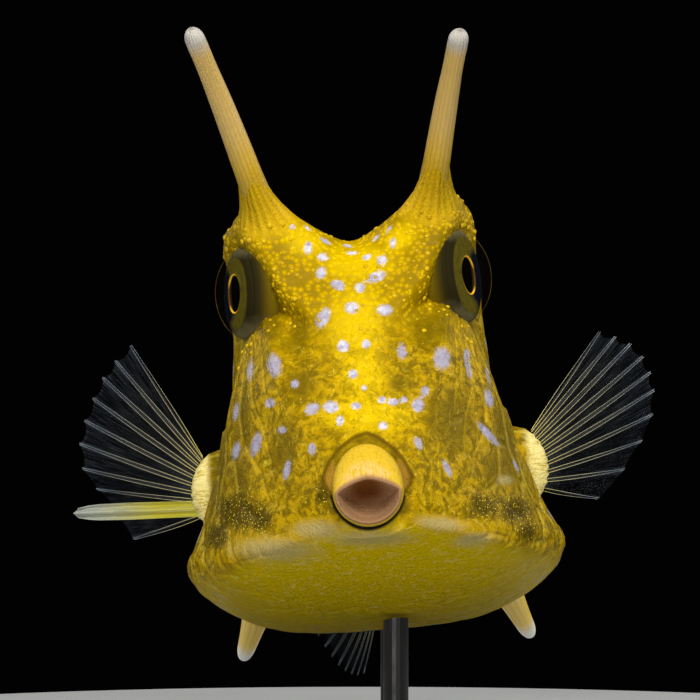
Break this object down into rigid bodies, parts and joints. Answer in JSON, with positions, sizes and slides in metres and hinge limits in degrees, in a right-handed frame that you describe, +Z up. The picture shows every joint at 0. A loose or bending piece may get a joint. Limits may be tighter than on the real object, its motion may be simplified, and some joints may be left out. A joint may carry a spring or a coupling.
{
  "type": "longhorn cowfish model",
  "caption": "Life-size still model of a young longhorn cowfish, nose up, horns forward and fins spread, on a flat base with rods.",
  "frame": {"origin": "centre of the stand base's underside", "axes": "the fish's nose points along -Y and slightly up, its left side along +X, up is +Z"},
  "size_m": [0.0719, 0.1016, 0.0896],
  "materials": {
    "skin": "painted golden yellow hide of bony plates, satin, with pale blue spots and olive-brown shading",
    "lips": "fleshy yellow lips, brown inside",
    "horn": "tan to greyish white, finely fluted",
    "eye": "wet black and navy dome with thin gold rings",
    "fin_membrane": "clear thin membrane with pale rays",
    "tail_fin": "yellow folded rays with a whitish tip",
    "stand": "plain black satin"
  },
  "bodies": {
    "root": {"head": "skin", "torso": "skin", "tail_peduncle": "skin", "pectoral_base_left": "skin", "pectoral_base_right": "skin", "mouth": "lips", "horn_left": "horn", "horn_right": "horn", "rear_spine_left": "horn", "rear_spine_right": "horn", "eye_left": "eye", "eye_right": "eye", "pectoral_fin_left": "fin_membrane", "pectoral_fin_right": "fin_membrane", "dorsal_fin": "fin_membrane", "anal_fin": "fin_membrane", "caudal_fin": "tail_fin", "stand_base": "stand", "stand_rod_front": "stand", "stand_rod_back": "stand"}
  },
  "joints": []
}
